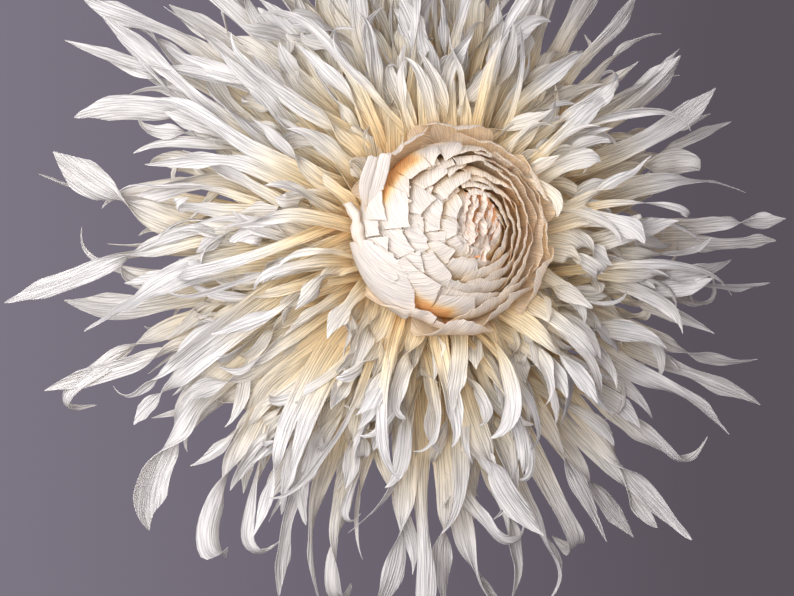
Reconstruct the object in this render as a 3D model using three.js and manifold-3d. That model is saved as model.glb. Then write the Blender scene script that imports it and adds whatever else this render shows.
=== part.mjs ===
// A giant crepe paper flower for a wall, in millimetres, +Z up, facing -Y.
// The origin is the centre of the backing board's rear face, which lies on the wall plane y = 0.
// A point of the flower is given by its radius and clock angle about the flower's axis and its height
// in front of the wall. Angles run anticlockwise from +X for someone who faces the flower.
import * as THREE from "three";
import { mergeVertices } from "three/addons/utils/BufferGeometryUtils.js";
import Module from "manifold-3d";

// Driving dimensions.
const PAPER = 0.6; // thickness of a crepe sheet with its crinkle
const GLUE_GAP = 0.3; // left between pieces that are glued or pushed together
const BOARD = { radius: 100, thickness: 12 };
const LOOP = {
  // of steel wire, pushed into two holes in the board's edge
  wire: 1.25,
  halfSpan: 10,
  rise: 12,
  depth: 14,
  bendPoints: 9,
  steps: 30,
};
const CORE = [
  // radius and height of the foam cone's side, which carries the rows of rays
  [76, 12.3],
  [73, 30],
  [63, 56],
  [50, 72],
];
const BALL = [
  // radius and height of the foam ball inside the bud, with its stem
  [16.5, 72.3],
  [16.5, 103],
  [19, 110],
  [25, 120],
  [28, 131],
  [27, 142],
  [21, 152],
  [11, 158],
];
const HEART = {
  radius: 15,
  low: 160.5,
  high: 172,
  side: [[0.7, 0], [1, 0.35], [0.85, 0.75], [0.4, 1]], // shares of the radius and of the height
  flutes: 7,
  perFlute: 4, // facets round one flute
  fluteDepth: 0.12,
};
const FACETS = { board: 48, hole: 12, core: 48, ball: 30 }; // flat sides round each turned piece
const ROW = {
  tipRadii: [372, 360, 344, 324, 298, 268, 236, 202, 170, 144], // counted from the wall
  lowest: 17, // height at which the first row leaves the core
  highest: 69, // and the last
  leastRise: 10, // how far the first row climbs on its way out
  mostRise: 76, // and the last
  reach: 66, // radius over which a row does most of its climbing
  glue: 1.2, // thickness of the bead of glue between the core and a row
  sag: 8, // how far the longest tips fall back towards the wall
  droop: 18, // and down, under their own weight
  band: 9, // width of the uncut, glued edge of a row
  tipSpacing: 56, // most distance between the tips of one row
  unevenLength: 0.1, // share of its length by which a ray may be short
  unevenBend: 1, // degrees by which a tip may lean to either side
};
const RAY_OUTLINE = [
  // share of the way to the tip, and half width
  [0.35, 9.5],
  [0.75, 10.5],
];
const BUD = {
  rings: 5,
  petals: 6, // in each ring
  middle: 135, // height of the bud's widest part
  radii: [84, 44], // of the outermost ring and the innermost, across the axis
  halfDepths: [62, 36], // and along it
  rims: [22, 64], // degrees above the widest part at which they end
  foot: 19.5, // radius at which every petal is glued to the stem
  spiral: 3, // how far a petal works outwards from one side edge to the other, to lap its neighbour
  ringTurn: 30, // degrees from one ring to the next
  columns: 5,
  columnStep: 20, // degrees
  rows: 4,
  cornerCut: 0.7, // share of the last row cut off at the corners
};

const WHORL = {
  // where the petals close in, from the bud's own axis, and the heights over which they lean to it
  x: 13,
  z: 4,
  from: 103,
  to: 172,
  reach: 90, // radius at which the lean has died away
};

const mix = THREE.MathUtils.lerp;
const radians = THREE.MathUtils.degToRad;

const finish = (color, roughness, metalness = 0) =>
  new THREE.MeshStandardMaterial({ color, roughness, metalness });
const MATERIALS = {
  ray: finish(0xf1e8d4, 0.95),
  bud: finish(0xf6ede0, 0.95),
  heart: finish(0xe8cfae, 0.95),
  board: finish(0xb08a5c, 0.8),
  foam: finish(0xf2f2ee, 0.9),
  wire: finish(0x9a9da0, 0.35, 1),
};

const wasm = await Module();
wasm.setup();

function piece(name, geometry, material) {
  const made = new THREE.Mesh(geometry, material);
  made.name = name;
  return made;
}

function at(radius, angle, height) {
  return new THREE.Vector3(radius * Math.cos(angle), -height, radius * Math.sin(angle));
}

// A small fixed irregularity between -1 and 1, so that no two cut rays are quite alike.
function uneven(row, item, which) {
  const wave = Math.sin(row * 12.9898 + item * 78.233 + which * 37.719) * 43758.5453;
  return 2 * (wave - Math.floor(wave)) - 1;
}

// A geometry's closed surface as a manifold-3d solid, and back.
function toSolid(geometry) {
  const bare = geometry.clone();
  bare.deleteAttribute("normal");
  bare.deleteAttribute("uv");
  const merged = mergeVertices(bare, 1e-3);
  return new wasm.Manifold(
    new wasm.Mesh({
      numProp: 3,
      vertProperties: merged.attributes.position.array,
      triVerts: new Uint32Array(merged.index.array),
    }),
  );
}

function toGeometry(solid) {
  const { vertProperties, triVerts } = solid.getMesh();
  return new THREE.BufferGeometry()
    .setAttribute("position", new THREE.BufferAttribute(vertProperties, 3))
    .setIndex(new THREE.BufferAttribute(triVerts, 1));
}

// Gives a triangulated surface the thickness of paper: a face on either side, joined round every free edge.
function sheet(points, triangles) {
  const surface = new THREE.BufferGeometry().setFromPoints(points).setIndex(triangles.flat());
  surface.computeVertexNormals();
  const normals = surface.attributes.normal;
  const skins = [0.5, -0.5].map((side) =>
    points.map((point, i) => {
      const normal = new THREE.Vector3().fromBufferAttribute(normals, i);
      return point.clone().addScaledVector(normal, side * PAPER);
    }),
  );
  const count = points.length;
  const index = [];
  const edges = new Map();
  for (const [a, b, c] of triangles) {
    index.push(a, b, c, c + count, b + count, a + count);
    for (const edge of [[a, b], [b, c], [c, a]]) edges.set(edge.join(), edge);
  }
  for (const [a, b] of edges.values())
    if (!edges.has([b, a].join())) index.push(b, a, a + count, b, a + count, b + count);
  return new THREE.BufferGeometry().setFromPoints(skins.flat()).setIndex(index);
}

// Turns a profile of [radius, height] about the flower's axis, closed by flat ends.
function turned(profile, segments) {
  const [first, last] = [profile[0], profile.at(-1)];
  const closed = [[0, first[1]], ...profile, [0, last[1]]];
  const outline = closed.map(([radius, height]) => new THREE.Vector2(radius, height));
  return new THREE.LatheGeometry(outline, segments).rotateX(Math.PI);
}

// The bud closes in off its own axis: a point leans the more, the higher and the nearer the axis it is.
function leaned(point) {
  const climb = THREE.MathUtils.clamp((-point.y - WHORL.from) / (WHORL.to - WHORL.from), 0, 1);
  const share = climb * (1 - (point.x ** 2 + point.z ** 2) / WHORL.reach ** 2);
  point.x += WHORL.x * share;
  point.z += WHORL.z * share;
  return point;
}

function leanedGeometry(geometry) {
  const position = geometry.attributes.position;
  for (let i = 0; i < position.count; i += 1) {
    const { x, y, z } = leaned(new THREE.Vector3().fromBufferAttribute(position, i));
    position.setXYZ(i, x, y, z);
  }
  return geometry;
}

// ---- what holds the flower together ----

function backingBoard() {
  const { radius, thickness } = BOARD;
  const bore = LOOP.wire + GLUE_GAP;
  let board = toSolid(turned([[radius, 0], [radius, thickness]], FACETS.board));
  for (const side of [-1, 1]) {
    const hole = new THREE.CylinderGeometry(bore, bore, 2 * LOOP.depth, FACETS.hole);
    hole.rotateX(Math.PI / 2);
    hole.translate(side * LOOP.halfSpan, -thickness / 2, radius);
    board = board.subtract(toSolid(hole));
  }
  return piece("backing_board", toGeometry(board), MATERIALS.board);
}

function hangingLoop() {
  const { wire, halfSpan, rise, depth, bendPoints, steps } = LOOP;
  const foot = BOARD.radius - depth + 2 * GLUE_GAP;
  const shoulder = BOARD.radius + rise;
  const level = -BOARD.thickness / 2;
  const bend = Array.from({ length: bendPoints }, (_, i) => {
    const angle = Math.PI * (1 - i / (bendPoints - 1));
    return new THREE.Vector3(halfSpan * Math.cos(angle), level, shoulder + halfSpan * Math.sin(angle));
  });
  const [start, end] = [-halfSpan, halfSpan].map((x) => new THREE.Vector3(x, level, foot));
  const corners = [start, ...bend, end];
  const route = new THREE.CurvePath();
  corners.slice(1).forEach((corner, i) => route.add(new THREE.LineCurve3(corners[i], corner)));
  const section = new THREE.Shape().absarc(0, 0, wire, 0, 2 * Math.PI);
  const options = { extrudePath: route, steps, curveSegments: 4, bevelEnabled: false };
  return piece("hanging_loop", new THREE.ExtrudeGeometry(section, options), MATERIALS.wire);
}

// ---- the rows of rays: each is one strip of crepe, cut into pointed rays and glued round the core ----

function coreRadius(height) {
  const above = CORE.findIndex(([, top]) => top >= height);
  const [low, high] = [CORE[above - 1], CORE[above]];
  return mix(low[0], high[0], (height - low[1]) / (high[1] - low[1]));
}

// The surface that a row lies on: a higher row starts higher and climbs more, so that no two rows meet.
function rowSurface(row) {
  const share = row / (ROW.tipRadii.length - 1);
  const base = mix(ROW.lowest, ROW.highest, share);
  const rise = mix(ROW.leastRise, ROW.mostRise, share);
  const inner = coreRadius(base) + ROW.glue;
  const point = (radius, angle) => {
    const outwards = (radius / ROW.tipRadii[0]) ** 2;
    const climb = rise * (1 - Math.exp((inner - radius) / ROW.reach));
    const made = at(radius, angle, base + climb - ROW.sag * outwards);
    made.z -= ROW.droop * outwards;
    return made;
  };
  return { inner, point };
}

function rayRow(row) {
  const { inner, point } = rowSurface(row);
  const notch = inner + ROW.band;
  const rays = Math.ceil((2 * Math.PI * ROW.tipRadii[row]) / ROW.tipSpacing);
  const pitch = (2 * Math.PI) / rays;
  const points = [];
  const triangles = [];
  const perRay = 2 * (2 + RAY_OUTLINE.length) + 1;
  for (let ray = 0; ray < rays; ray += 1) {
    const middle = pitch * (ray + 0.5 * (row % 2));
    const length = (ROW.tipRadii[row] - inner) * (1 - ROW.unevenLength * Math.abs(uneven(row, ray, 1)));
    const lean = radians(ROW.unevenBend) * uneven(row, ray, 2);
    const first = points.length;
    const next = (first + perRay) % (rays * perRay);
    for (const radius of [inner, notch])
      for (const angle of [middle - pitch / 2, middle]) points.push(point(radius, angle));
    for (const [share, halfWidth] of RAY_OUTLINE) {
      const radius = inner + share * length;
      const halfAngle = halfWidth / radius;
      const turn = lean * share ** 2;
      for (const side of [-1, 1]) points.push(point(radius, middle + turn + side * halfAngle));
    }
    points.push(point(inner + length, middle + lean));
    triangles.push([first, first + 2, first + 3], [first, first + 3, first + 1]);
    triangles.push([first + 1, first + 3, next + 2], [first + 1, next + 2, next]);
    triangles.push([first + 2, first + 4, first + 3], [first + 3, first + 5, next + 2]);
    triangles.push([first + 3, first + 4, first + 5]);
    for (let i = first + 4; i < first + perRay - 3; i += 2) {
      triangles.push([i, i + 2, i + 3], [i, i + 3, i + 1]);
    }
    triangles.push([first + perRay - 3, first + perRay - 1, first + perRay - 2]);
  }
  const number = String(row + 1).padStart(2, "0");
  return piece(`ray_row_${number}`, sheet(points, triangles), MATERIALS.ray);
}

// ---- the bud: rings of cupped petals round a foam ball, each petal lapping the one beside it ----

// A petal's vertices all lie on one faceted, leaning cup for its ring, shrunk a little more towards one
// side edge.
function budPetal(ring, item) {
  const share = ring / (BUD.rings - 1);
  const radius = mix(...BUD.radii, share);
  const halfDepth = mix(...BUD.halfDepths, share);
  const lowest = -Math.acos(BUD.foot / radius);
  const highest = radians(mix(...BUD.rims, share));
  const step = radians(BUD.columnStep);
  const start = (item * 2 * Math.PI) / BUD.petals + ring * radians(BUD.ringTurn);
  const points = [];
  const triangles = [];
  for (let column = 0; column <= BUD.columns; column += 1) {
    const shrink = 1 - (BUD.spiral * column) / BUD.columns / radius;
    const angle = start + column * step;
    const cup = Array.from({ length: BUD.rows + 1 }, (_, row) => {
      const latitude = mix(lowest, highest, row / BUD.rows);
      const height = BUD.middle + shrink * halfDepth * Math.sin(latitude);
      return leaned(at(shrink * radius * Math.cos(latitude), angle, height));
    });
    const fromMiddle = Math.abs((2 * column) / BUD.columns - 1);
    cup[BUD.rows].lerp(cup[BUD.rows - 1], BUD.cornerCut * fromMiddle ** 3);
    points.push(...cup);
  }
  const perColumn = BUD.rows + 1;
  for (let column = 0; column < BUD.columns; column += 1)
    for (let row = 0; row < BUD.rows; row += 1) {
      const a = column * perColumn + row;
      const b = a + perColumn;
      triangles.push([a, b, b + 1], [a, b + 1, a + 1]);
    }
  return piece(`bud_petal_${ring + 1}_${item + 1}`, sheet(points, triangles), MATERIALS.bud);
}

// The crumpled tuft in the middle of the bud.
function budHeart() {
  const { radius, low, high, side, flutes, perFlute, fluteDepth } = HEART;
  const profile = side.map(([across, up]) => [across * radius, mix(low, high, up)]);
  const tuft = turned(profile, perFlute * flutes);
  const position = tuft.attributes.position;
  for (let i = 0; i < position.count; i += 1) {
    const angle = Math.atan2(position.getZ(i), position.getX(i));
    const flute = 1 + fluteDepth * Math.cos(flutes * angle);
    position.setX(i, position.getX(i) * flute);
    position.setZ(i, position.getZ(i) * flute);
  }
  return piece("bud_heart", leanedGeometry(tuft), MATERIALS.heart);
}

const flower = new THREE.Group();
flower.add(backingBoard(), hangingLoop());
flower.add(piece("foam_core", turned(CORE, FACETS.core), MATERIALS.foam));
ROW.tipRadii.forEach((_, row) => flower.add(rayRow(row)));
flower.add(piece("foam_ball", leanedGeometry(turned(BALL, FACETS.ball)), MATERIALS.foam));
for (let ring = 0; ring < BUD.rings; ring += 1) {
  for (let item = 0; item < BUD.petals; item += 1) flower.add(budPetal(ring, item));
}
flower.add(budHeart());

export default flower;
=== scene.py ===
import math

import bmesh
import bpy
import numpy as np
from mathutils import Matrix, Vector


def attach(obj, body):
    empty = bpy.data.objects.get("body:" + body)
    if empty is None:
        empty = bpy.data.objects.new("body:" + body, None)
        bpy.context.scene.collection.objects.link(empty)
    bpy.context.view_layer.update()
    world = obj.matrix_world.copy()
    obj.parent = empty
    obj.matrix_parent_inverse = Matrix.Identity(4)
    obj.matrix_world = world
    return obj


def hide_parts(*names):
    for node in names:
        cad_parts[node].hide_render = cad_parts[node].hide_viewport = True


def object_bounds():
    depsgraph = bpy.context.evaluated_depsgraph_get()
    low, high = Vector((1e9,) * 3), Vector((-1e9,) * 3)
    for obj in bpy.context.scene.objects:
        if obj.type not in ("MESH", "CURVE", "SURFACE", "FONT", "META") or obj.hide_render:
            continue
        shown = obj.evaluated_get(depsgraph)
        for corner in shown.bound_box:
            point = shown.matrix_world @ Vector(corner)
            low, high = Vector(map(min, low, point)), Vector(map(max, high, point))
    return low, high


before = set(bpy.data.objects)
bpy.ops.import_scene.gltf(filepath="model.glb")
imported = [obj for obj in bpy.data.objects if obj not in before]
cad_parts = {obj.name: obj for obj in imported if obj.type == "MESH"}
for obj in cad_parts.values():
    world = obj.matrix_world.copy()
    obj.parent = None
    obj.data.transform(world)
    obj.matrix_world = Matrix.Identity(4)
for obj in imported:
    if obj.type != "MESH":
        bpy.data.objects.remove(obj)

CAD_BOX = [list(corner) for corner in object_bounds()]
MM = 0.001
PAPER = 0.35  # thickness of a crepe sheet
WELD = 0.01  # points nearer than this are one
SHARP = 60  # degrees between two faces that meet in a sharp edge
GRAIN_SCALE = 0.1  # the grain is laid out on the paper in centimetres


def mix(low, high, share):
    return low + (high - low) * share


def smooth(low, high, value):
    share = np.clip((value - low) / (high - low), 0.0, 1.0)
    return share * share * (3 - 2 * share)


def unit(vectors):
    return vectors / np.linalg.norm(vectors, axis=-1, keepdims=True)


# ---- meshes -------------------------------------------------------------------------------------------


class Sheets:
    """Grids of points gathered into one mesh, each with its place on the paper and its tone."""

    def __init__(self):
        self.points = []
        self.paper = []
        self.tones = []
        self.faces = []
        self.count = 0

    def add(self, points, paper, tone):
        """points are (rows, columns, 3) in mm, paper (rows, columns, 2) in mm, tone (rows, columns)."""
        rows, columns = points.shape[:2]
        index = np.arange(rows * columns).reshape(rows, columns) + self.count
        corners = [index[:-1, :-1], index[:-1, 1:], index[1:, 1:], index[1:, :-1]]
        self.points.append(points.reshape(-1, 3))
        self.paper.append(paper.reshape(-1, 2))
        self.tones.append(np.broadcast_to(tone, (rows, columns)).reshape(-1))
        self.faces.append(np.stack(corners, axis=-1).reshape(-1, 4))
        self.count += rows * columns

    def build(self, name, material):
        points = np.concatenate(self.points)
        paper = np.concatenate(self.paper)
        faces = np.concatenate(self.faces)
        world = np.stack([points[:, 0], -points[:, 2], points[:, 1]], axis=-1) * MM
        mesh = bpy.data.meshes.new(name)
        mesh.from_pydata(world.tolist(), [], faces.tolist())
        grain = mesh.uv_layers.new(name="Grain")
        on_corners = paper[faces.reshape(-1)].astype(np.float32).reshape(-1)
        grain.data.foreach_set("uv", on_corners * GRAIN_SCALE)
        tone = mesh.attributes.new("tone", "FLOAT", "POINT")
        tone.data.foreach_set("value", np.concatenate(self.tones).astype(np.float32))
        work = bmesh.new()
        work.from_mesh(mesh)
        bmesh.ops.remove_doubles(work, verts=work.verts, dist=WELD * MM)
        work.to_mesh(mesh)
        work.free()
        piece = bpy.data.objects.new(name, mesh)
        bpy.context.collection.objects.link(piece)
        thicken(piece)
        piece.data.materials.append(material)
        return piece


def thicken(piece):
    """Gives a sheet its thickness, with sharp cut edges."""
    solidify = piece.modifiers.new("Paper", "SOLIDIFY")
    solidify.thickness = PAPER * MM
    solidify.offset = 0
    evaluated = piece.evaluated_get(bpy.context.evaluated_depsgraph_get())
    mesh = bpy.data.meshes.new_from_object(evaluated)
    piece.modifiers.clear()
    sheet = piece.data
    piece.data = mesh
    mesh.name = sheet.name
    bpy.data.meshes.remove(sheet)
    mesh.polygons.foreach_set("use_smooth", [True] * len(mesh.polygons))
    mesh.set_sharp_from_angle(angle=math.radians(SHARP))


def finish_piece(piece, slot, *nodes):
    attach(piece, "root")
    if nodes:
        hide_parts(*nodes)
    return piece


# ---- materials ----------------------------------------------------------------------------------------


def linear(red, green, blue):
    def channel(value):
        value /= 255
        return value / 12.92 if value <= 0.04045 else ((value + 0.055) / 1.055) ** 2.4

    return (channel(red), channel(green), channel(blue), 1.0)


class Nodes:
    """A new material's node tree, with short ways to add and join nodes."""

    def __init__(self, name):
        self.material = bpy.data.materials.new(name)
        self.material.use_nodes = True
        self.tree = self.material.node_tree
        self.tree.nodes.clear()
        self.output = self.add("ShaderNodeOutputMaterial")

    def add(self, kind, inputs=None, **settings):
        node = self.tree.nodes.new(kind)
        for key, value in settings.items():
            setattr(node, key, value)
        for key, value in (inputs or {}).items():
            if isinstance(value, bpy.types.NodeSocket):
                self.tree.links.new(value, node.inputs[key])
            else:
                node.inputs[key].default_value = value
        return node

    def ramp(self, factor, stops):
        node = self.add("ShaderNodeValToRGB", {"Fac": factor})
        elements = node.color_ramp.elements
        elements[0].position, elements[0].color = stops[0]
        elements[1].position, elements[1].color = stops[-1]
        for position, colour in stops[1:-1]:
            elements.new(position).color = colour
        return node.outputs["Color"]

    def calculate(self, operation, *values):
        return self.add("ShaderNodeMath", dict(enumerate(values)), operation=operation).outputs[0]

    def remap(self, value, low, high, start, end):
        """What lies from low to high comes to lie from start to end, and goes no further."""
        inputs = {"Value": value, "From Min": low, "From Max": high, "To Min": start, "To Max": end}
        return self.add("ShaderNodeMapRange", inputs).outputs["Result"]

    def scaled(self, colour, factor):
        inputs = {0: colour, "Scale": factor}
        return self.add("ShaderNodeVectorMath", inputs, operation="SCALE").outputs["Vector"]

    def surface(self, **inputs):
        """A Principled surface. An input's name is written with _ for a space."""
        named = {key.replace("_", " "): value for key, value in inputs.items()}
        return self.add("ShaderNodeBsdfPrincipled", named).outputs[0]

    def finish(self, shader):
        self.tree.links.new(shader, self.output.inputs["Surface"])
        return self.material

    def noise(self, vector, stretch, detail=2.0, roughness=0.5):
        mapping = self.add("ShaderNodeMapping", {"Vector": vector, "Scale": stretch})
        settings = {
            "Vector": mapping.outputs["Vector"],
            "Scale": 1.0,
            "Detail": detail,
            "Roughness": roughness,
        }
        return self.add("ShaderNodeTexNoise", settings).outputs["Fac"]

    def ridges(self, paper, pitch):
        """Lines along the paper, about pitch mm apart, that wander and run into each other as crepe's do."""
        mapping = self.add("ShaderNodeMapping", {"Vector": paper, "Scale": (1.0, 0.06, 1.0)})
        settings = {
            "Vector": mapping.outputs["Vector"],
            "Scale": math.pi / pitch,
            "Distortion": 8.0,
            "Detail": 2.0,
            "Detail Scale": 1.6,
            "Detail Roughness": 0.6,
        }
        return self.add("ShaderNodeTexWave", settings, bands_direction="X").outputs["Fac"]


THROUGH_TINT = (1.0, 0.94, 0.8)  # light is warmer once it has come through the paper
GRIT = (10.0, 0.3, 1.0)  # how closely each noise is packed across the paper and along it
CREASES = (2.3, 0.18, 1.0)
CLOUDS = (0.35, 0.2, 1.0)
LINE_SHARE = 0.34  # how much the ridges count beside the grit
GROOVES = (0.48, 0.7)  # the ridges' heights at the bottom of a groove and at its top
GROOVE_SHADE = 0.25  # how much darker the bottom is painted: painted shade in the grooves
CREASE_DEPTH = 0.0012  # in metres, where the ridges are at full strength
RIDGE_DEPTH = 0.0013


def crepe(name, stops, through, ridges=1.0, pitch=2.3):
    """Crepe paper, with ridges, broader creases, a colour that follows the tone, and light let through.

    through is the share of light let through at tone 0 and at tone 1, ridges how strong the ridges are
    and pitch how many mm they lie apart.
    """
    n = Nodes(name)
    paper = n.add("ShaderNodeUVMap", uv_map="Grain").outputs["UV"]
    tone = n.add("ShaderNodeAttribute", attribute_name="tone").outputs["Fac"]
    grit = n.noise(paper, GRIT, detail=1.0)
    fine = n.calculate("MULTIPLY_ADD", n.ridges(paper, pitch), LINE_SHARE, grit)
    broad = n.noise(paper, CREASES, detail=1.0)
    # the colour is painted darker in the grooves and a little lighter on the crests: painted shade and a
    # faint painted highlight
    shade = n.remap(fine, *GROOVES, 1 - GROOVE_SHADE * ridges, 1.04)
    cloud = n.remap(n.noise(paper, CLOUDS), 0.3, 0.7, 0.95, 1.03)
    colour = n.scaled(n.ramp(tone, stops), n.calculate("MULTIPLY", shade, cloud))
    coarse = {"Height": broad, "Distance": CREASE_DEPTH * ridges**2, "Strength": 0.9}
    creased = n.add("ShaderNodeBump", coarse).outputs["Normal"]
    ridged = {"Height": fine, "Distance": RIDGE_DEPTH * ridges, "Strength": 1.0, "Normal": creased}
    normal = n.add("ShaderNodeBump", ridged).outputs["Normal"]
    face = n.surface(Base_Color=colour, Roughness=0.85, Normal=normal, Specular_IOR_Level=0.25)
    tint = {0: colour, 1: THROUGH_TINT}
    warmed = n.add("ShaderNodeVectorMath", tint, operation="MULTIPLY").outputs["Vector"]
    glow = n.add("ShaderNodeBsdfTranslucent", {"Color": warmed}).outputs[0]
    share = n.remap(tone, 0.0, 1.0, *through)
    return n.finish(n.add("ShaderNodeMixShader", {"Fac": share, 1: face, 2: glow}).outputs[0])


# Colours by tone. The golden low tones are partly the paper's own colour and partly painted shade.
RAY_STOPS = [
    (0.0, linear(255, 222, 162)),
    (0.25, linear(255, 235, 192)),
    (0.5, linear(255, 241, 210)),
    (0.75, linear(250, 243, 229)),
    (1.0, linear(240, 238, 239)),
]
BUD_STOPS = [
    (0.0, linear(252, 182, 104)),
    (0.3, linear(255, 224, 168)),
    (0.6, linear(254, 240, 218)),
    (1.0, linear(246, 242, 240)),
]
HEART_STOPS = [
    (0.0, linear(255, 176, 104)),
    (0.5, linear(252, 218, 178)),
    (1.0, linear(246, 236, 228)),
]
RAY_CREPE = crepe("ray_crepe", RAY_STOPS, (0.5, 0.32))
BUD_CREPE = crepe("bud_crepe", BUD_STOPS, (0.38, 0.44), ridges=0.58, pitch=2.4)
HEART_CREPE = crepe("heart_crepe", HEART_STOPS, (0.5, 0.35), ridges=0.6, pitch=2.0)


# ---- ray petals ---------------------------------------------------------------------------------------


def direction(clock, pitch):
    """The way that a clock angle and a pitch above the wall point, both in degrees."""
    clock = math.radians(clock)
    pitch = math.radians(pitch)
    level = math.cos(pitch)
    return np.array([level * math.cos(clock), level * math.sin(clock), math.sin(pitch)])


def place(clock, radius, height):
    clock = math.radians(clock)
    return np.array([radius * math.cos(clock), radius * math.sin(clock), height])


SPINE_POINTS = 121


class Spine:
    """A smooth path from one point to another, read by the share of its length."""

    def __init__(self, start, start_way, end, end_way, first=0.4, last=0.36):
        span = np.linalg.norm(end - start)
        near = start + start_way * span * first
        far = end - end_way * span * last
        t = np.linspace(0, 1, SPINE_POINTS)[:, None]
        s = 1 - t
        self.points = s**3 * start + 3 * s**2 * t * near + 3 * s * t**2 * far + t**3 * end
        runs = np.linalg.norm(np.diff(self.points, axis=0), axis=1)
        self.length = runs.sum()
        self.shares = np.concatenate([[0], np.cumsum(runs)]) / self.length

    def at(self, shares):
        axes = self.points.T
        return np.stack([np.interp(shares, self.shares, axis) for axis in axes], -1)


def ribbon_frames(points, across, turn, curl):
    """Carries a frame along a path, turns it about the path, and curls the path towards the ribbon's face."""
    tangents = unit(np.gradient(points, axis=0))
    carried = []
    for tangent in tangents:
        across = unit(across - (across @ tangent) * tangent)
        carried.append(across)
    flat = np.array(carried)
    out = np.cross(tangents, flat)
    turn = turn[:, None]
    curl = curl[:, None]
    across = np.cos(turn) * flat + np.sin(turn) * out
    face = np.cos(turn) * out - np.sin(turn) * flat
    ways = np.cos(curl) * tangents + np.sin(curl) * face
    face = np.cross(ways, across)
    steps = np.linalg.norm(np.diff(points, axis=0), axis=1)[:, None]
    walked = np.cumsum((ways[1:] + ways[:-1]) / 2 * steps, axis=0)
    moved = np.concatenate([points[:1], points[0] + walked])
    return moved, across, face, ways


def outline(shares, keys):
    """A cut edge through the keys: eased between them, and straight to the last one."""
    widths = np.zeros_like(shares)
    for (low, start), (high, end) in zip(keys, keys[1:]):
        inside = (shares >= low) & (shares <= high)
        last = (high, end) == keys[-1]
        eased = (shares - low) / (high - low) if last else smooth(low, high, shares)
        widths[inside] = mix(start, end, eased)[inside]
    return widths


BAND_ROWS = 14  # faces along the uncut part of a petal, along each finger, and across both
FINGER_ROWS = 26
COLUMNS = 12
SETTLE = 5.0  # height over which a sagging petal comes to rest on the wall
CLEARANCE = 0.8  # how far from the wall its middle stays
TWISTS = {20: 0.32, 85: 0.2, 165: 0.3, 190: 0.18}  # degrees by which fingers turn over, and how often
CALM_TWIST = 16
HOOKED = 0.22  # share of the fingers whose tips curl right over
BLUNT = 0.12  # share of them with a blunt end
BLUNT_END = (0.95, 0.3)  # share of the length at which that end starts, and the share of the width there
TIP = (1.0, 0.03)  # the same for the very tip


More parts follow.
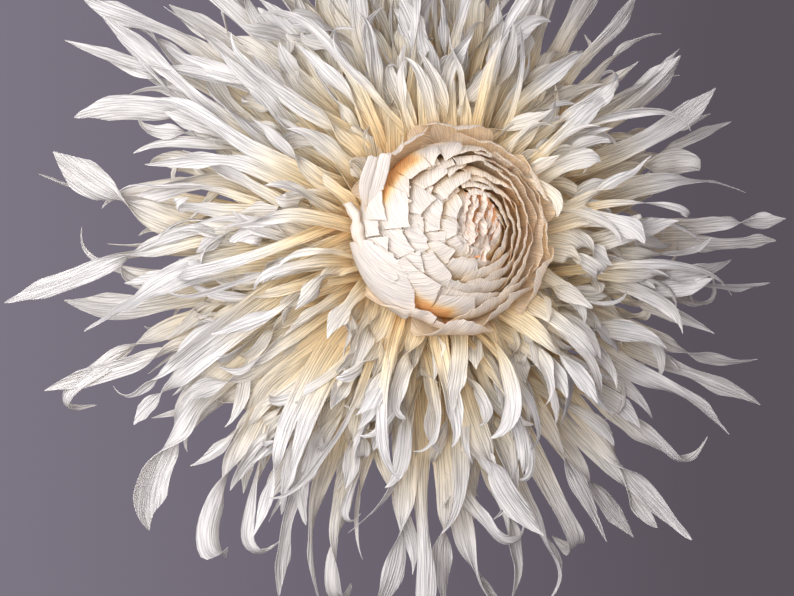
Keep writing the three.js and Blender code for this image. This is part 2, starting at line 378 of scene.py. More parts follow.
class Petal:
    """A strip of crepe glued at its foot: a band that is cut into one or more pointed fingers."""

    def __init__(self, rng, foot, pitch, tips, width, fork):
        self.rng = rng
        self.foot_clock, radius, height = foot
        self.tips = tips  # clock, reach, height, heading and pitch of each finger's tip
        self.half = width / 2
        self.fork = fork  # share of the length at which the fingers part
        self.paper_start = rng.uniform(0, 400, 2)
        self.fold_phase = rng.uniform(0, 2 * math.pi)
        self.fold_pace = rng.uniform(0.4, 0.75)
        self.cup = rng.uniform(-0.25, 0.4)
        self.calm = False  # a calm petal neither twists much nor hooks
        middle = np.mean([place(clock, reach, high) for clock, reach, high, _, _ in tips], axis=0)
        way = unit(np.sum([direction(heading, tilt) for _, _, _, heading, tilt in tips], axis=0))
        start = place(self.foot_clock, radius, height)
        self.spine = Spine(start, direction(self.foot_clock, pitch), middle, way)

    def folds(self, across_mm, along_mm):
        """Soft lengthwise folds, in mm out of the face."""
        drift = 0.012 * along_mm
        soft = np.sin(across_mm * self.fold_pace + self.fold_phase + drift)
        return 0.5 * soft + 0.25 * np.sin(across_mm * self.fold_pace * 2.4 + 2 * self.fold_phase - drift)

    def add_to(self, sheets, tone_of):
        rng = self.rng
        shares = np.linspace(0, self.fork, BAND_ROWS + 1)
        points = self.spine.at(shares)
        across_start = direction(self.foot_clock + 90, 0)
        turn = math.radians(rng.uniform(-24, 24)) * smooth(0, self.fork, shares)
        points, across, face, ways = ribbon_frames(points, across_start, turn, np.zeros_like(turn))
        local = np.linspace(-1, 1, COLUMNS + 1)
        half = self.half * mix(0.62, 1.0, smooth(0, min(0.3, self.fork), shares))
        along = shares * self.spine.length
        offset = local[None, :] * half[:, None]
        rise = half[:, None] * self.cup * local[None, :] ** 2 + self.folds(offset, along[:, None])
        rise = rise - self.half * self.cup / 3
        grid = self.grid(points, across, face, offset, rise)
        self.add_grid(sheets, tone_of, grid, offset, along, shares)
        per_finger = COLUMNS // len(self.tips)
        for finger, tip in enumerate(self.tips):
            columns = slice(finger * per_finger, (finger + 1) * per_finger + 1)
            row = points[-1] + across[-1] * offset[-1, columns, None] + face[-1] * rise[-1, columns, None]
            edge = (across[-1], ways[-1], local[columns], row, along[-1])
            self.add_finger(sheets, tone_of, edge, tip)

    def add_finger(self, sheets, tone_of, edge, tip):
        rng = self.rng
        across, way, picked, row, run = edge
        middle = picked.mean()
        own = (picked[-1] - picked[0]) / 2
        start = row.mean(axis=0)
        clock, reach, height, heading, tilt = tip
        parted = unit(way + across * middle * rng.uniform(0.0, 0.35))
        spine = Spine(start, parted, place(clock, reach, height), direction(heading, tilt), 0.34, 0.3)
        shares = np.linspace(0, 1, FINGER_ROWS + 1)
        neck = rng.uniform(0.22, 0.5)
        twist = rng.choice(list(TWISTS), p=list(TWISTS.values())) * rng.uniform(0.7, 1.15)
        hook = rng.choice([0.0, 1.0], p=[1 - HOOKED, HOOKED])
        if self.calm:
            twist = CALM_TWIST
            hook = 0.0
        turn = rng.choice([-1, 1]) * math.radians(twist) * smooth(neck - 0.24, neck + 0.24, shares)
        curl = math.radians(rng.uniform(-28, 38)) * smooth(0.3, 1.0, shares)
        hook = hook * math.radians(rng.uniform(60, 150)) * rng.choice([-1, 1])
        curl += hook * smooth(0.62, 0.95, shares)
        points, across, face, _ = ribbon_frames(spine.at(shares), across, turn, curl)
        blade = rng.uniform(neck + 0.2, 0.8)
        blunt = rng.choice([False, True], p=[1 - BLUNT, BLUNT])
        keys = [(0.0, 1.0), (neck, rng.uniform(0.5, 0.85)), (blade, rng.uniform(0.85, 1.12))]
        keys += [BLUNT_END, TIP] if blunt else [TIP]
        half = self.half * own * outline(shares, keys)
        local = (picked - middle) / own
        offset = local[None, :] * half[:, None]
        cup = rng.uniform(-0.5, 0.6)
        crease = rng.uniform(-0.45, 0.45)
        along = run + shares * spine.length
        wave = np.sin(shares[:, None] * rng.uniform(9, 22) + rng.uniform(0, 6) * np.sign(local))
        rise = half[:, None] * (cup * local**2 + crease * np.abs(local))
        paper_across = middle * self.half + offset
        room = np.clip(half / 5, 0, 1)[:, None]  # the folds die away where the finger is narrow
        rise = rise + self.folds(paper_across, along[:, None]) * room
        rise = rise + 0.12 * half[:, None] * local**2 * wave
        grid = self.grid(points, across, face, offset, rise)
        reach = shares[:, None, None]
        grid = grid + (row - grid[0]) * (1 - smooth(0.0, 0.3, reach))  # it starts where the band ends
        self.add_grid(sheets, tone_of, grid, paper_across, along, along / (run + spine.length))

    def grid(self, points, across, face, offset, rise):
        return points[:, None] + across[:, None] * offset[..., None] + face[:, None] * rise[..., None]

    def add_grid(self, sheets, tone_of, grid, paper_across, along, shares):
        height = grid[..., 2]
        grid[..., 2] = SETTLE * np.log1p(np.exp(height / SETTLE)) + CLEARANCE
        paper = np.stack([paper_across, np.broadcast_to(along[:, None], paper_across.shape)], -1)
        sheets.add(grid, paper + self.paper_start, tone_of(grid, shares[:, None]))


def ray_tone_and_shade(points, shares):
    """0 is the golden foot of a petal and 1 its white tip. The gold is partly the paper's own colour and
    partly painted shade: petals are more golden near the middle and low down, and whiter the higher they
    stand.
    """
    radius = np.hypot(points[..., 0], points[..., 1])
    inner = smooth(70, 300, radius)
    own = smooth(0.1, 0.8, shares)
    lift = smooth(45, 115, points[..., 2])
    return np.clip(0.05 + 0.6 * inner + 0.33 * own + 0.42 * own * lift, 0, 1)


ROWS = 10
SAG = -24  # degrees by which a tip at 3 o'clock hangs down; one that points up or down doesn't


def row_layout(row):
    """Where a row leaves the core, the pitch of its feet, and the reach and height of its tips."""
    share = row / (ROWS - 1)
    foot = (mix(74, 50, share), mix(18, 72, share))
    pitch = mix(10, 64, share)
    reach = (mix(245, 122, share**0.9), mix(335, 212, share**0.9))
    height = (mix(10, 80, share), mix(78, 148, share))
    return foot, pitch, reach, height


def free_petal(row, item, count):
    """A petal whose fingers lie as chance has it, sagging a little under their own weight."""
    rng = np.random.default_rng([17, row, item])
    (radius, foot_height), pitch, reaches, heights = row_layout(row)
    clock = 360 * (item + 0.5 * (row % 2) + rng.uniform(-0.42, 0.42)) / count
    inner = row / (ROWS - 1)
    odds = [mix(0.4, 0.22, inner), 0.38, mix(0.22, 0.4, inner)]
    fingers = int(rng.choice([1, 2, 3], p=odds))
    lean = rng.uniform(-19, 19)
    spread = rng.uniform(4, 15)
    tips = []
    for finger in range(fingers):
        tip_clock = clock + lean + spread * (finger - (fingers - 1) / 2) + rng.uniform(-4, 4)
        reach = rng.uniform(*reaches) * rng.uniform(0.86, 1.0)
        sag = SAG * math.cos(math.radians(tip_clock))
        heading = tip_clock + sag + rng.uniform(-50, 50) * rng.choice([0.5, 1.0, 1.7])
        tips.append((tip_clock, reach, rng.uniform(*heights), heading, rng.uniform(-34, 38)))
    width = rng.uniform(12, 27) if fingers == 1 else fingers * rng.uniform(12, 18.5)
    width = mix(1.12, 1.05, inner) * width
    fork = rng.uniform(0.32, mix(0.58, 0.66, inner))
    return Petal(rng, (clock, radius, foot_height), pitch + rng.uniform(-8, 10), tips, width, fork)


# The petals that make the flower's outline. Each has its row, the clock angle of its foot, its width and
# the share at which it parts, then the clock angle, reach, height and heading of each tip.
OUTLINE = [
    (2, 141, 36, 0.62, [(147, 370, 60, 150), (144, 350, 35, 152)]),
    (3, 150, 36, 0.5, [(155, 360, 70, 172), (152, 355, 50, 160), (149, 350, 60, 140)]),
    (4, 154, 18, 0.5, [(146, 340, 85, 120)]),
    (3, 158, 24, 0.5, [(163, 330, 70, 205)]),
    (2, 184, 30, 0.55, [(168, 340, 45, 138)]),
    (1, 176, 24, 0.5, [(176, 350, 30, 196)]),
    (2, 186, 14, 0.5, [(180, 325, 50, 130)]),
    (4, 174, 20, 0.5, [(191, 375, 60, 212)]),
    (2, 192, 24, 0.5, [(192, 335, 40, 178)]),
    (5, 189, 26, 0.6, [(199, 310, 95, 250)]),
    (2, 200, 36, 0.5, [(204, 400, 45, 205), (202, 365, 40, 200)]),
    (6, 193, 30, 0.75, [(208, 320, 85, 212), (211, 315, 80, 222)]),
    (3, 212, 28, 0.5, [(227, 360, 55, 300)]),
    (2, 224, 40, 0.45, [(238, 370, 50, 276), (242, 360, 60, 282)]),
    (5, 226, 30, 0.6, [(239, 305, 105, 262), (242, 285, 100, 285)]),
    (3, 238, 20, 0.5, [(246, 350, 50, 268)]),
    (1, 246, 38, 0.5, [(252, 360, 40, 262), (257, 370, 50, 275)]),
    (2, 262, 24, 0.5, [(263, 365, 55, 255)]),
    (3, 270, 36, 0.45, [(269, 360, 60, 262), (274, 350, 45, 280)]),
    (1, 278, 24, 0.5, [(280, 370, 40, 290)]),
    (2, 286, 38, 0.5, [(286, 360, 50, 278), (292, 370, 60, 300)]),
    (5, 282, 22, 0.5, [(289, 285, 100, 315)]),
    (3, 296, 22, 0.5, [(298, 365, 50, 300)]),
    (4, 300, 20, 0.5, [(300, 325, 75, 285)]),
    (2, 305, 36, 0.6, [(307, 355, 45, 312), (310, 370, 50, 305)]),
    (3, 314, 22, 0.5, [(313, 385, 50, 318)]),
    (2, 321, 24, 0.5, [(321, 370, 45, 330)]),
    (4, 326, 22, 0.5, [(331, 340, 80, 345)]),
    (3, 334, 34, 0.62, [(335, 370, 55, 330), (340, 355, 60, 358)]),
    (1, 345, 22, 0.5, [(348, 325, 35, 335)]),
    (3, 352, 24, 0.5, [(354, 350, 55, 8)]),
    (5, 350, 20, 0.5, [(356, 295, 90, 20)]),
    (2, 2, 34, 0.7, [(0, 360, 50, 350), (4, 360, 65, 16)]),
    (4, 10, 22, 0.5, [(9, 315, 75, 340)]),
    (3, 14, 28, 0.5, [(15, 300, 60, 352)]),
    (2, 22, 26, 0.6, [(22, 335, 50, 28), (26, 315, 60, 40)]),
    (4, 29, 20, 0.5, [(28, 310, 90, 50)]),
    (2, 33, 22, 0.5, [(33, 320, 45, 20)]),
    (3, 38, 24, 0.5, [(36, 305, 60, 60)]),
    (2, 44, 34, 0.5, [(43, 315, 50, 30), (48, 320, 70, 58)]),
]
TOP_TIPS = 15  # more of them fan out over the top


def outline_petals():
    for item, (row, clock, width, fork, tips) in enumerate(OUTLINE):
        rng = np.random.default_rng([53, item])
        (radius, foot_height), pitch, _, _ = row_layout(row - 1)
        ends = [(*tip, rng.uniform(-16, 20)) for tip in tips]
        yield row - 1, Petal(rng, (clock, radius, foot_height), pitch, ends, width, fork)
    for item in range(TOP_TIPS):
        rng = np.random.default_rng([59, item])
        row = 1 + item % 3
        clock = 54 + 6 * item + rng.uniform(-2, 2)
        (radius, foot_height), pitch, _, _ = row_layout(row)
        reach = rng.uniform(305, 350)
        height = rng.uniform(25, 80)
        heading = clock + rng.uniform(-35, 35)
        tips = [(clock, reach, height, heading, rng.uniform(-16, 20))]
        if item % 2:
            reach = rng.uniform(290, 335)
            height = rng.uniform(25, 80)
            tips.append((clock + 5, reach, height, clock + rng.uniform(-10, 50), 10))
        foot = (clock + rng.uniform(-8, 8), radius, foot_height)
        yield row, Petal(rng, foot, pitch, tips, 17 * len(tips) + 4, rng.uniform(0.4, 0.6))


BROAD = 34


def broad_petals():
    """Broad bands, close together on the left, that fill the flower behind its fingers."""
    for item in range(BROAD):
        rng = np.random.default_rng([61, item])
        row = 2 + item % 5
        clock = 100 + 150 * (item + rng.uniform(-0.4, 0.4)) / BROAD
        (radius, foot_height), pitch, _, _ = row_layout(row)
        tips = []
        for finger in range(2):
            tip_clock = clock + rng.uniform(5, 9) * (2 * finger - 1) + rng.uniform(-6, 6)
            reach = rng.uniform(215, 300)
            height = rng.uniform(30, 100)
            heading = tip_clock + rng.uniform(-25, 40)
            tips.append((tip_clock, reach, height, heading, rng.uniform(-20, 24)))
        width = rng.uniform(26, 34)
        foot = (clock, radius, foot_height)
        yield row, Petal(rng, foot, pitch, tips, width, rng.uniform(0.55, 0.72))


# Petals that hang in front, near the bud: row, clock angle of the foot, width, and the tip. NEAR_FORK is
# the share of their length at which the blade starts.
NEAR_FORK = 0.35
NEAR = [
    (9, 52, 17, (9, 99, 150, 272, -25)),
    (9, 36, 16, (41, 200, 135, 40, 5)),
    (8, 215, 17, (222, 150, 140, 262, -20)),
]


def near_petals():
    for item, (row, clock, width, tip) in enumerate(NEAR):
        rng = np.random.default_rng([67, item])
        (radius, foot_height), pitch, _, _ = row_layout(row)
        petal = Petal(rng, (clock, radius, foot_height), pitch, [tip], width, NEAR_FORK)
        petal.calm = True
        yield row, petal


STRANDS = 50


def strands():
    """Thin strips that curl across the others."""
    for item in range(STRANDS):
        rng = np.random.default_rng([71, item])
        row = 5 + item % 5
        clock = 360 * (item + rng.uniform(-0.5, 0.5)) / STRANDS
        (radius, foot_height), pitch, reaches, heights = row_layout(row)
        tip_clock = clock + rng.uniform(-24, 24)
        reach = rng.uniform(reaches[0], reaches[1] + 40)
        heading = tip_clock + rng.choice([-1, 1]) * rng.uniform(35, 110)
        tip = (tip_clock, reach, rng.uniform(*heights) + 6, heading, rng.uniform(-30, 20))
        width = rng.uniform(6, 11)
        foot = (clock, radius, foot_height)
        yield row, Petal(rng, foot, pitch, [tip], width, rng.uniform(0.3, 0.5))


def ray_rows():
    rows = [Sheets() for _ in range(ROWS)]
    for petals in (outline_petals(), broad_petals(), near_petals(), strands()):
        for row, petal in petals:
            petal.add_to(rows[row], ray_tone_and_shade)
    for row, sheets in enumerate(rows):
        count = int(round(mix(12, 19, row / (ROWS - 1))))
        for item in range(count):
            free_petal(row, item, count).add_to(sheets, ray_tone_and_shade)
        node = f"ray_row_{row + 1:02d}"
        finish_piece(sheets.build(f"{node}_petals", RAY_CREPE), "ray_crepe", node)


# ---- the bud ------------------------------------------------------------------------------------------

BUD_MIDDLE = 133.0  # height of the bud's widest place above the wall
BUD_RADII = (88, 31)  # of the outermost sheets and the innermost
BUD_DEPTHS = (42, 36)  # the same, along the axis
STEM = 22  # radius of the circle that every sheet starts from
WHORL = np.array([13.0, 4.0])  # where the petals close in, from the bud's own middle
LEVELS = 10
OPEN_SIDE = 20  # clock angle of the side where the petals stand open; opposite it they close over
TABBED_SIDE = (165, 88)  # clock angle about which the sheets are cut into tabs, and how far to each side
LOBELESS_SIDE = (185, 45)  # the same for where no lobes stand round the bud
TAB_LIFTS = (1.0, 6.2)  # how far the rims of one sheet's tabs lean out, from the least to the most

# Where the outermost petals stand off, so that the foot of the next ones shows, golden and dark in painted
# shade: clock angle, and reach to each side.
SHADED_GAPS = [(142, 28), (247, 26)]
GAP_SHADE = 0.84  # how far the tone falls there: painted shade


def turned_from(clock, other):
    """The smallest angle between two clock angles, in degrees."""
    return abs((clock - other + 180) % 360 - 180)


class BudSheet:
    """One sheet of a bud petal: a patch of a rounded bowl, cut at its rim."""

    ROWS = 26

    def __init__(self, rng, level, clock):
        self.rng = rng
        share = level / (LEVELS - 1)
        openness = 0.5 + 0.5 * math.cos(math.radians(clock - OPEN_SIDE))
        self.level = level
        self.share = share
        self.clock = clock
        self.openness = openness
        self.radius = mix(*BUD_RADII, share) + rng.uniform(-1, 1)
        self.depth = mix(*BUD_DEPTHS, share)
        self.middle = WHORL * share * 0.6
        self.span = rng.uniform(68, 82) * mix(1, 1.25, share)
        self.flare = mix(mix(2.0, 5, openness), 1.0, share) + rng.uniform(-1.0, 1.5)
        self.lean = math.radians(rng.uniform(30, 58) * (1 - openness) + rng.uniform(-10, 10))
        self.phase = rng.uniform(0, 2 * math.pi, 6)
        self.paper_start = rng.uniform(0, 400, 2)
        middle, reach = TABBED_SIDE
        self.tabbed = turned_from(clock, middle) < reach and 1 <= level < LEVELS - 1
        if level == 0:
            self.span *= 0.72
        self.waves = mix(0.7, 2.2, openness) * mix(1.0, 0.7, share)
        middle, reach = LOBELESS_SIDE
        self.lobe = level < 2 and turned_from(clock, middle) > reach
        if self.lobe:
            self.upper = 1 - smooth(40, 75, turned_from(clock, 95))  # 1 over the top: these stand open
            self.flare = rng.uniform(4.0, 6.0)
            self.radius += mix(1, 3, self.upper) - 2 * level
            self.span *= rng.uniform(0.75, 0.95)
            self.waves = 2.4
        self.rim_middle, self.rim_radius = self.rim_circle(level)
        self.rim_change = math.radians(rng.uniform(-4, 2) - 7 * openness * (1 - share))

    def rim_circle(self, level):
        """The rims of one level lie on a circle about the whorl, seen from the front."""
        if self.lobe:
            radius = mix(70, 81, self.upper) - mix(4, 7, self.upper) * level
            return WHORL * 0.06 * level, radius
        # on the closed side the two levels of a ring end together
        paired = mix(level, 2 * (level // 2) + 0.6, 1 - self.openness)
        share = max(0.0, (paired - 1) / (LEVELS - 2))
        return WHORL * mix(0.72, 1.0, share), mix(68, 13, share**0.9)

    def rim_latitude(self, angle):
        """How far up the bowl the sheet reaches at each clock angle, in radians."""
        away = self.rim_middle - self.middle
        along = away[0] * np.cos(angle) + away[1] * np.sin(angle)
        across = away[1] * np.cos(angle) - away[0] * np.sin(angle)
        reach = along + np.sqrt(np.maximum(self.rim_radius**2 - across**2, 1.0))
        return np.arccos(np.clip(reach / self.radius, 0.05, 0.995)) + self.rim_change

    def add_to(self, sheets):
        if not self.tabbed:
            self.add_patch(sheets, 0, 1, 30, 0.0, 0.0)
            return
        rng = self.rng
        rim = float(self.rim_latitude(math.radians(self.clock)))
        arc = math.radians(self.span) * self.radius * math.cos(rim)
        widest = mix(19, 34, smooth(180, 215, self.clock))
        tabs = max(2, round(arc / rng.uniform(0.75 * widest, widest)))
        uneven = np.concatenate([[0], rng.uniform(-0.2, 0.2, tabs - 1), [0]])
        cuts = (np.arange(tabs + 1) + uneven) / tabs
        lifts = rng.permutation(np.linspace(*TAB_LIFTS, tabs))
        for low, high, lift in zip(cuts, cuts[1:], lifts):
            self.add_patch(sheets, low, high, 7, lift, rng.uniform(-0.05, 0.02))

    def add_patch(self, sheets, low, high, columns, tilt, step):
        """The stretch of the sheet from low to high: tilt leans its rim out, step makes it taller."""
        rng = self.rng
        across = np.linspace(low, high, columns + 1)[None, :]
        up = np.linspace(0, 1, self.ROWS)[:, None]
        centre = across.mean()
        if self.tabbed:  # each tab narrows a little, so that a slit opens beside it
            narrowed = mix(1.0, rng.uniform(0.86, 0.97), smooth(0.8, 1.0, up))
            across = centre + (across - centre) * narrowed
        side = 2 * across - 1
        if self.lobe:
            corner = 0.42 * np.abs(side) ** 2.6
        elif self.tabbed:
            corner = 0.04 * side**8
        else:
            corner = mix(0.14, 0.3, self.openness) * np.abs(side) ** 3
        jags = rng.uniform(-1, 1, columns + 1)[None, :] * (0.003 if self.tabbed else 0.012)
        skew = 0.0
        if self.tabbed:
            skew = rng.uniform(-0.07, 0.07) * (across - across.mean()) / (high - low)
        reach = up * (1 - corner + jags + step + skew)
        foot = -math.acos(min(0.98, STEM / self.radius))
        angle = math.radians(self.clock) + math.radians(self.span) * (across - 0.5)
        rim = self.rim_latitude(angle)
        latitude = mix(foot, rim, reach)
        upper = smooth(0.55, 1.0, up)
        phase = self.phase
        arc = angle * self.radius
        billow = np.sin(angle * 5 + phase[0]) + 0.6 * np.sin(angle * 11 + phase[1] + 2 * up)
        ripple = np.sin(arc * 0.22 + phase[2] + 3 * up) + 0.5 * np.sin(arc * 0.5 + phase[3])
        out = self.waves * (0.55 * billow * smooth(0.35, 1.0, up) + 0.45 * ripple * upper**2)
        out = out + self.flare * upper**1.5 + tilt * smooth(0.72, 1.0, up)
        out = out - 1.6 * side  # one edge tucks under the next petal
        r = (self.radius + out) * np.cos(latitude)
        h = BUD_MIDDLE + (self.depth + 0.5 * out) * np.sin(latitude)
        x = r * np.cos(angle) + self.middle[0]
        z = r * np.sin(angle) + self.middle[1]
        points = np.stack([x, z, h], -1)
        paper = self.paper(angle, latitude)
        sheets.add(points, paper + self.paper_start, self.tone(angle, rim - latitude, np.hypot(x, z)))

    def paper(self, angle, latitude):
        """Each sheet's grain leans its own way."""
        u = np.broadcast_to(self.radius * (angle - math.radians(self.clock)), latitude.shape)
        v = latitude * (self.radius + self.depth) / 2
        sin = math.sin(self.lean)
        cos = math.cos(self.lean)
        return np.stack([u * cos - v * sin, u * sin + v * cos], -1)

    def tone(self, angle, below_rim, radius):
        """White at the rim, with painted shade below it: the more golden the deeper it lies below, and the
        rims on the open side a little less white.
        """
        outer = 2 * max(0.0, 0.5 - self.share)
        if self.lobe:
            fall = smooth(0.04, 0.45, below_rim)
            shaded_tone = 0.62
        else:
            starts = mix(mix(0.14, 0.5, outer), 0.03, self.openness)
            ends = mix(mix(0.75, 1.6, outer), 0.4, self.openness)
            fall = smooth(starts, ends, below_rim)
            shaded_tone = mix(0.5, 0.2, self.share) + 0.25 * self.openness * (1 - self.share)
        tone = mix(mix(1.0, 0.8, self.openness), shaded_tone, fall)
        # painted shade where the foot of the inner sheets shows past the outermost petals
        if self.level > 1:
            out_there = smooth(62, 69, radius)
            for middle, reach in SHADED_GAPS:
                off = np.abs(np.degrees(angle) - middle)
                near = 1 - smooth(0.6 * reach, reach, off)
                tone = tone * (1 - GAP_SHADE * out_there * near)
        return np.clip(tone, 0, 1)


def collar_petal(sheets):
    """A small petal at the bud's upper left, cut straight at the top and creased down its middle."""
    rng = np.random.default_rng(37)
    up = np.linspace(0, 1, 24)[:, None]
    half = 11.5 * smooth(-0.06, 0.6, up) * mix(1.0, 0.88, smooth(0.7, 1.0, up))
    middle = mix(-76, -70, up) - 3 * np.sin(up * math.pi)
    for low, high in ((-1.0, -0.035), (0.035, 1.0)):
        side = np.linspace(low, high, 9)[None, :]
        x = middle + half * side
        z = mix(8, 60, up) + 2.0 * side * up + 1.2 * np.sin(side * 6) * up**6
        fold = 6.0 * np.abs(side) * smooth(0.05, 0.4, up) * (1 - 0.55 * np.abs(side))
        h = mix(144, 160, smooth(0, 0.8, up)) + fold
        points = np.stack([x, z, h], -1)
        paper = np.stack([13 * side + 0 * up, 58 * up + 0 * side], -1)
        tone = np.clip(0.4 + 1.6 * up + 0 * side, 0, 1)
        sheets.add(points, paper + rng.uniform(0, 400, 2), tone)


def rolled_edge(sheets):
    """The outermost petal's left edge, rolled over into a crumpled tube."""
    rng = np.random.default_rng(43)
    run = np.linspace(0, 1, 25)[:, None]
    turn = np.radians(np.linspace(-140, 120, 13))[None, :]
    radius = mix(3.2, 4.8, np.sin(run * math.pi))
    radius = radius + 0.9 * np.sin(run * 17) + 0.7 * np.sin(run * 31 + 2 * turn)  # the crumples
    x = mix(-93, -77, run**0.8) + 1.6 * np.sin(run * 9) + radius * np.sin(turn)
    z = mix(22, -32, run) + 1.2 * np.sin(turn + 3 * run)
    h = 139 + 9 * np.sin(run * math.pi) + radius * np.cos(turn)
    paper = np.stack([radius * turn + 5 * run, 56 * run + 0 * turn], -1)
    # darker on the sides that turn away under the roll: painted shade
    tone = np.clip(0.9 - 0.5 * smooth(1.2, 2.4, np.abs(turn)) + 0 * run, 0, 1)
    sheets.add(np.stack([x, z, h], -1), paper + rng.uniform(0, 400, 2), tone)


# Ring, item and layer of the sheet whose place the collar petal and the rolled edge take.
COLLAR_PLACE = (0, 2, 0)


IN_RING = 6  # petals in each ring of the bud
FIRST_CLOCK = 35


def bud_petals():
    """Each petal of the bud is two lapping sheets."""
    apart = 360 / IN_RING
    for ring in range(LEVELS // 2):
        for item in range(IN_RING):
            sheets = Sheets()
            for layer in range(2):
                if (ring, item, layer) == COLLAR_PLACE:
                    collar_petal(sheets)
                    rolled_edge(sheets)
                    continue
                rng = np.random.default_rng([29, ring, item, layer])
                turned = (item + (ring + layer) / 2) * apart
                clock = (turned + FIRST_CLOCK + rng.uniform(-8, 8)) % 360
                BudSheet(rng, 2 * ring + layer, clock).add_to(sheets)
            node = f"bud_petal_{ring + 1}_{item + 1}"
            finish_piece(sheets.build(f"{node}_crepe", BUD_CREPE), "bud_crepe", node)


HEART_REACH = 20.0  # half its width, and how much longer it is than wide
HEART_STRETCH = 1.4
HEART_SHEETS = 10
HEART_FACING = 66  # the way that the sheets run, as a clock angle


def heart_bed(sheets):
    """The crumpled floor that the heart's petals rise from."""
    angle = np.linspace(0, 2 * math.pi, 49)[None, :]
    r = np.linspace(2, HEART_REACH, 9)[:, None]
    x = r * np.cos(angle)
    z = HEART_STRETCH * r * np.sin(angle)
    h = 160 + 0.8 * np.sin(x * 0.8) + 0.8 * np.sin(z * 0.9)
    # a low tone: painted shade on the floor among the heart's sheets
    tone = np.full(h.shape, 0.3)
    sheets.add(np.stack([x + WHORL[0], z + WHORL[1], h], -1), np.stack([x, z], -1), tone)


def bud_heart():
    """Crumpled petals, side by side in the middle of the whorl, that lean over towards its open side."""
    sheets = Sheets()
    heart_bed(sheets)
    up = np.linspace(0, 1, 15)[:, None]
    across = np.linspace(-1, 1, 27)[None, :]
    for item in range(HEART_SHEETS):
        rng = np.random.default_rng([41, item])
        share = (item + 0.5) / HEART_SHEETS
        offset = mix(-HEART_REACH, HEART_REACH - 2, share)
        facing = math.radians(HEART_FACING + rng.uniform(-16, 16))
        half = 0.8 * math.sqrt(HEART_REACH**2 - offset**2) * rng.uniform(0.6, 1.0) + 3
        wave = rng.uniform(0, 2 * math.pi, 4)
        pace = rng.uniform(0.8, 1.3, 5) * [0.13, 0.4, 1.1, 0.3, 1.0]
        way = across * half
        crumple = 1.8 * np.sin(way * pace[0] + wave[0])
        crumple = crumple + 0.9 * np.sin(way * pace[1] + wave[1] + 5 * up)
        crumple = crumple + 0.45 * np.sin(way * pace[2] + wave[2] - 7 * up)
        over = mix(5.0, 2.0, share) * rng.uniform(0.5, 1.4)
        off = offset + crumple * smooth(0.1, 0.9, up) + over * up**1.5
        jagged = 0.24 * np.sin(way * pace[3] + wave[2]) + 0.14 * np.sin(way * pace[4] + wave[3])
        top = 1 + jagged - 0.3 * across**4
        run = way + rng.uniform(-6, 6)
        x = run * math.cos(facing) + off * math.sin(facing)
        z = HEART_STRETCH * (run * math.sin(facing) - off * math.cos(facing))
        crown = mix(173, 166, abs(offset) / HEART_REACH) + rng.uniform(-4, 2)
        h = mix(158, crown, up * top)
        points = np.stack([x + WHORL[0], z + WHORL[1], h + 0 * x], -1)
        paper = np.stack([way + 6 * up, 26 * up + 0 * across], -1)
        # golden at the foot where the sheets crowd together: painted shade between them
        tone = mix(0.12, 1.0, smooth(0.1, 0.7, up)) + 0 * across
        sheets.add(points, paper + rng.uniform(0, 400, 2), tone)
    finish_piece(sheets.build("bud_heart_crepe", HEART_CREPE), "heart_crepe", "bud_heart")


# ---- what shows of the board, the foam and the wire ---------------------------------------------------


PLY_PACE = 2400.0  # radians per metre through the board's thickness: plies 2.6 mm apart
BEADS_PER_METRE = 320.0


def plywood():
    """Long pale grain on the faces, and plies that show on the edge."""
    n = Nodes("plywood")
    place = n.add("ShaderNodeTexCoord").outputs["Object"]
    grain = n.noise(place, (9.0, 25.0, 260.0), detail=4.0, roughness=0.6)
    figure = n.noise(place, (2.5, 8.0, 22.0))
    depth = n.add("ShaderNodeSeparateXYZ", {"Vector": place}).outputs["Y"]
    plies = n.calculate("SINE", n.calculate("MULTIPLY", depth, PLY_PACE))
    share = n.remap(n.calculate("ADD", grain, figure), 0.7, 1.3, 0.0, 1.0)
    dark = (0.0, linear(168, 128, 84))
    middling = (0.5, linear(205, 168, 120))
    pale = (1.0, linear(224, 194, 150))
    wood = n.ramp(share, [dark, middling, pale])
    colour = n.scaled(wood, n.remap(plies, -1.0, 1.0, 0.82, 1.0))
    bump = n.add("ShaderNodeBump", {"Height": grain, "Distance": 0.0006, "Strength": 0.6})
    return n.finish(n.surface(Base_Color=colour, Roughness=0.7, Normal=bump.outputs["Normal"]))


def foam():
    """White beads pressed together."""
    n = Nodes("foam")
    place = n.add("ShaderNodeTexCoord").outputs["Object"]
    beads = n.add("ShaderNodeTexVoronoi", {"Vector": place, "Scale": BEADS_PER_METRE})
    edge = beads.outputs["Distance"]
    # darker towards each bead's edge: painted shade in the hollows between beads
    colour = n.ramp(edge, [(0.0, linear(246, 244, 238)), (0.7, linear(226, 222, 214))])
    bump = n.add("ShaderNodeBump", {"Height": edge, "Distance": 0.001, "Strength": 0.7}, invert=True)
    return n.finish(n.surface(Base_Color=colour, Roughness=0.8, Normal=bump.outputs["Normal"]))


def wire():
    """Drawn steel wire, with faint lengthwise scratches."""
    n = Nodes("wire")
    place = n.add("ShaderNodeTexCoord").outputs["Object"]
    scratches = n.noise(place, (300.0, 300.0, 2500.0), detail=3.0)
    rough = n.remap(scratches, 0.0, 1.0, 0.25, 0.5)
    colour = n.ramp(scratches, [(0.3, linear(150, 148, 146)), (0.7, linear(196, 194, 190))])
    return n.finish(n.surface(Base_Color=colour, Metallic=1.0, Roughness=rough))


def paint(material, *nodes):
    for node in nodes:
        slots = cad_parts[node].data.materials
        slots.clear()
        slots.append(material)


# ---- stage --------------------------------------------------------------------------------------------


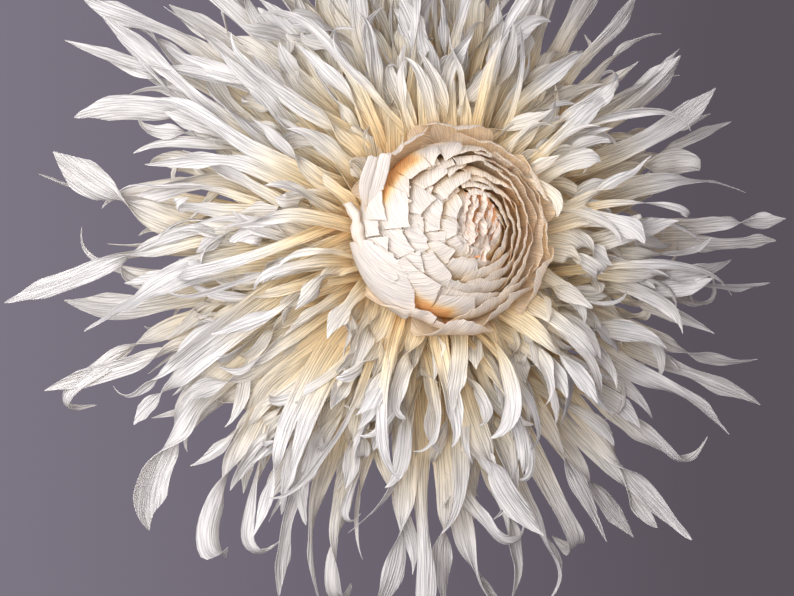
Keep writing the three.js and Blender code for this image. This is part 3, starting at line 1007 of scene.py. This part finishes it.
FLOOR_DROP = 0.95  # how far the floor lies below the flower
FLOOR_SIZE = 4
BUD = (0.04, -0.14, 0.01)  # what the glow is aimed at
MIDDLE = (0, -0.1, 0)  # and the other lamps
COOL = (0.98, 0.99, 1.0)  # colours of light
WARM = (1.0, 0.99, 0.97)
SOFT = (1.0, 0.98, 0.96)
# Place, size in metres, power in watts and colour of each lamp.
LAMPS = {
    "key": ((-0.98, -0.94, 0.28), 0.8, 11, COOL),
    "front": ((-0.34, -0.78, -0.06), 0.5, 5.8, WARM),
    "side": ((1.5, -1.0, 0.3), 1.4, 0.5, SOFT),
    "back": ((-0.6, 1.5, 0.6), 1.2, 10, WARM),
}


def floor():
    n = Nodes("floor")
    material = n.finish(n.surface(Base_Color=linear(206, 202, 206), Roughness=0.9))
    level = CAD_BOX[0][2] - FLOOR_DROP
    bpy.ops.mesh.primitive_plane_add(size=FLOOR_SIZE, location=(0, 0, level))
    plane = bpy.context.object
    plane.name = "floor"
    plane.data.materials.append(material)


def hang(data, place, aim):
    """Puts a lamp or the camera in its place and turns it to what it is aimed at."""
    made = bpy.data.objects.new(data.name, data)
    made.location = place
    made.rotation_euler = (Vector(aim) - Vector(place)).to_track_quat("-Z", "Y").to_euler()
    bpy.context.collection.objects.link(made)
    return made


def glow():
    """A soft-edged lamp that shines through the bud's far petals."""
    data = bpy.data.lights.new("glow", "SPOT")
    data.energy = 17
    data.spot_size = math.radians(26)
    data.spot_blend = 1.0
    data.shadow_soft_size = 0.12
    hang(data, (0.5, -0.46, 0.3), BUD)


def light():
    glow()
    for name, (place, size, power, colour) in LAMPS.items():
        data = bpy.data.lights.new(name, "AREA")
        data.size = size
        data.energy = power
        data.color = colour
        hang(data, place, MIDDLE)


def backdrop():
    """A plain studio grey that darkens from left to right."""
    world = bpy.data.worlds.new("studio")
    bpy.context.scene.world = world
    world.use_nodes = True
    tree = world.node_tree
    way = tree.nodes.new("ShaderNodeTexCoord")
    split = tree.nodes.new("ShaderNodeSeparateXYZ")
    fade = tree.nodes.new("ShaderNodeMapRange")
    shades = tree.nodes.new("ShaderNodeMix")
    shades.data_type = "RGBA"
    tree.links.new(way.outputs["Generated"], split.inputs[0])
    tree.links.new(split.outputs["X"], fade.inputs["Value"])
    fade.inputs["From Min"].default_value = -0.1
    fade.inputs["From Max"].default_value = 0.45
    tree.links.new(fade.outputs["Result"], shades.inputs["Factor"])
    shades.inputs["A"].default_value = linear(128, 121, 135)
    shades.inputs["B"].default_value = linear(90, 83, 92)
    tree.links.new(shades.outputs["Result"], tree.nodes["Background"].inputs["Color"])


CAMERA_ANGLES = (-15, -4)  # azimuth and elevation in degrees
CAMERA_DISTANCE = 1.25
LENS = 60.5


def camera():
    azimuth, elevation = np.radians(CAMERA_ANGLES)
    level = math.cos(elevation)
    back = Vector((math.sin(azimuth) * level, -math.cos(azimuth) * level, math.sin(elevation)))
    data = bpy.data.cameras.new("camera")
    data.sensor_width = 36
    data.lens = LENS
    place = Vector((0, -0.03, 0)) + back * CAMERA_DISTANCE
    bpy.context.scene.camera = hang(data, place, (-0.044, -0.117, -0.057))


camera()
light()
backdrop()
floor()
ray_rows()
bud_petals()
bud_heart()
paint(plywood(), "backing_board")
paint(foam(), "foam_core", "foam_ball")
paint(wire(), "hanging_loop")
bpy.context.scene.view_settings.view_transform = "Standard"
